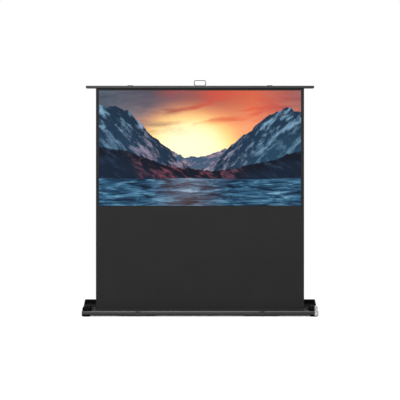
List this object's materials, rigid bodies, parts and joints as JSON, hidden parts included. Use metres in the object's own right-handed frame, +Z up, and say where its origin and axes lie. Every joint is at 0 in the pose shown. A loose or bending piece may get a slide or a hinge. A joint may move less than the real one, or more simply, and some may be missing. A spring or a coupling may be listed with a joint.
{
  "type": "pull up projection screen",
  "caption": "Portable floor screen whose black case opens so that a scissor frame lifts a top bar and its wide fabric off a spring roller.",
  "frame": {"origin": "on the floor under the middle of the case, which is the middle of the width, 6 mm in front of the picture", "axes": "+X to the right for a viewer who faces the picture, +Y away from that viewer, through the screen to its open lid, +Z up"},
  "size_m": [2.058, 0.2437, 2.066],
  "materials": {
    "case_powder_coat": "black powder coat, satin",
    "cap_moulding": "black moulded plastic, fine grain",
    "pad_rubber": "black rubber",
    "backing_fabric": "black coated backing, matt",
    "viewing_fabric": "white coated viewing surface, matt",
    "bar_anodised": "black anodised, satin",
    "arm_aluminium": "black powder coat, satin",
    "rail_aluminium": "mill finish",
    "zinc_steel": "zinc plated",
    "bright_steel": "bright nickel plated",
    "catch_steel": "black painted steel",
    "handle_steel": "dark grey plated steel",
    "spring_steel": "oiled spring wire",
    "wheel_nylon": "natural nylon",
    "foot_moulding": "black glass-filled plastic"
  },
  "bodies": {
    "base": {"base_case": "case_powder_coat", "end_cap_left": "cap_moulding", "end_cap_right": "cap_moulding", "base_pad_left": "pad_rubber", "base_pad_right": "pad_rubber", "base_rail": "rail_aluminium", "base_pivot_bracket": "zinc_steel", "base_pivot_rivet": "zinc_steel", "roller_bracket_left": "zinc_steel", "roller_bracket_right": "zinc_steel", "spring_rod": "zinc_steel", "spring_anchor": "zinc_steel", "torsion_spring": "spring_steel", "roller_idler_pin": "zinc_steel", "backing_sheet": "backing_fabric", "viewing_surface": "viewing_fabric", "catch_plate_left": "catch_steel", "catch_plate_right": "catch_steel", "clip_bracket": "bright_steel"},
    "roller": {"roller_tube": "rail_aluminium", "wound_fabric": "backing_fabric", "roller_plug_left": "cap_moulding", "roller_plug_right": "cap_moulding"},
    "lid": {"lid_shell": "case_powder_coat", "lid_end_left": "cap_moulding", "lid_end_right": "cap_moulding", "keeper_left": "zinc_steel", "keeper_right": "zinc_steel"},
    "lower_front_arm": {"arm_lower_front": "arm_aluminium", "lower_centre_rivet": "zinc_steel", "right_elbow_rivet": "zinc_steel"},
    "lower_rear_arm": {"arm_lower_rear": "arm_aluminium", "left_elbow_rivet": "zinc_steel", "base_wheel_axle": "zinc_steel"},
    "lower_wheel": {"base_wheel": "wheel_nylon"},
    "upper_rear_arm": {"arm_upper_rear": "arm_aluminium", "upper_centre_rivet": "zinc_steel", "top_pivot_rivet": "zinc_steel"},
    "upper_front_arm": {"arm_upper_front": "arm_aluminium", "top_wheel_axle": "zinc_steel"},
    "upper_wheel": {"top_wheel": "wheel_nylon"},
    "bar": {"top_bar": "bar_anodised", "bar_plug_left": "cap_moulding", "bar_plug_right": "cap_moulding", "hem_rod": "zinc_steel", "top_rail": "rail_aluminium", "top_pivot_bracket": "zinc_steel", "saddle_left": "catch_steel", "saddle_right": "catch_steel", "handle_plate": "handle_steel"},
    "handle": {"handle_bail": "handle_steel"},
    "left_catch": {"catch_lever_left": "catch_steel"},
    "right_catch": {"catch_lever_right": "catch_steel"},
    "clip": {"lid_clip": "bright_steel"},
    "left_foot": {"foot_left": "foot_moulding", "foot_bolt_left": "zinc_steel"},
    "right_foot": {"foot_right": "foot_moulding", "foot_bolt_right": "zinc_steel"}
  },
  "joints": [
    {"name": "screen_lift", "type": "hinge", "parent": "base", "child": "lower_front_arm", "pos_m": [-0.61, 0.026, 0.0221], "axis": [0, -1, 0], "range_deg": [-39.2, 0], "deforming": ["backing_sheet", "viewing_surface"]},
    {"name": "lower_cross", "type": "hinge", "parent": "lower_front_arm", "child": "lower_rear_arm", "pos_m": [-0.03497, 0.026, 0.51292], "axis": [0, -1, 0], "range_deg": [0, 78.5]},
    {"name": "right_elbow", "type": "hinge", "parent": "lower_front_arm", "child": "upper_rear_arm", "pos_m": [0.54006, 0.026, 1.00375], "axis": [0, -1, 0], "range_deg": [0, 78.5]},
    {"name": "upper_cross", "type": "hinge", "parent": "upper_rear_arm", "child": "upper_front_arm", "pos_m": [-0.03497, 0.026, 1.49457], "axis": [0, -1, 0], "range_deg": [-78.5, 0]},
    {"name": "bar_pivot", "type": "hinge", "parent": "upper_rear_arm", "child": "bar", "pos_m": [-0.61, 0.026, 1.9854], "axis": [0, -1, 0], "range_deg": [-39.3, 0]},
    {"name": "base_wheel_spin", "type": "hinge", "parent": "lower_rear_arm", "child": "lower_wheel", "pos_m": [0.54006, 0.0386, 0.0221], "axis": [0, -1, 0], "range_deg": [-2316, 0]},
    {"name": "top_wheel_spin", "type": "hinge", "parent": "upper_front_arm", "child": "upper_wheel", "pos_m": [0.54006, 0.0386, 1.9854], "axis": [0, -1, 0], "range_deg": [0, 2316]},
    {"name": "roller_spin", "type": "hinge", "parent": "base", "child": "roller", "pos_m": [0, -0.018, 0.042], "axis": [1, 0, 0], "range_deg": [-3925, 0]},
    {"name": "lid_hinge", "type": "hinge", "parent": "base", "child": "lid", "pos_m": [0, 0.0613, 0.0705], "axis": [1, 0, 0], "range_deg": [0, 62]},
    {"name": "handle_swing", "type": "hinge", "parent": "bar", "child": "handle", "pos_m": [0, 0.0065, 2.026], "axis": [1, 0, 0], "range_deg": [-90, 90]},
    {"name": "left_catch_pivot", "type": "hinge", "parent": "base", "child": "left_catch", "pos_m": [-0.54, -0.0617, 0.0157], "axis": [1, 0, 0], "range_deg": [0, 95]},
    {"name": "right_catch_pivot", "type": "hinge", "parent": "base", "child": "right_catch", "pos_m": [0.54, -0.0617, 0.0157], "axis": [1, 0, 0], "range_deg": [0, 95]},
    {"name": "clip_pivot", "type": "hinge", "parent": "base", "child": "clip", "pos_m": [1.0105, -0.0615, 0.0145], "axis": [1, 0, 0], "range_deg": [0, 90]},
    {"name": "left_foot_swivel", "type": "hinge", "parent": "base", "child": "left_foot", "pos_m": [-0.54, 0, 0.004], "axis": [0, 0, 1], "range_deg": [0, 90]},
    {"name": "right_foot_swivel", "type": "hinge", "parent": "base", "child": "right_foot", "pos_m": [0.54, 0, 0.004], "axis": [0, 0, 1], "range_deg": [-90, 0]}
  ],
  "couplings": [
    {"joint": "lower_cross", "follows": "screen_lift", "ratio": -2},
    {"joint": "right_elbow", "follows": "screen_lift", "ratio": -2},
    {"joint": "upper_cross", "follows": "screen_lift", "ratio": 2},
    {"joint": "bar_pivot", "follows": "screen_lift", "ratio": 1},
    {"joint": "base_wheel_spin", "follows": "screen_lift", "ratio": 59},
    {"joint": "top_wheel_spin", "follows": "screen_lift", "ratio": -59},
    {"joint": "roller_spin", "follows": "screen_lift", "ratio": 100}
  ]
}
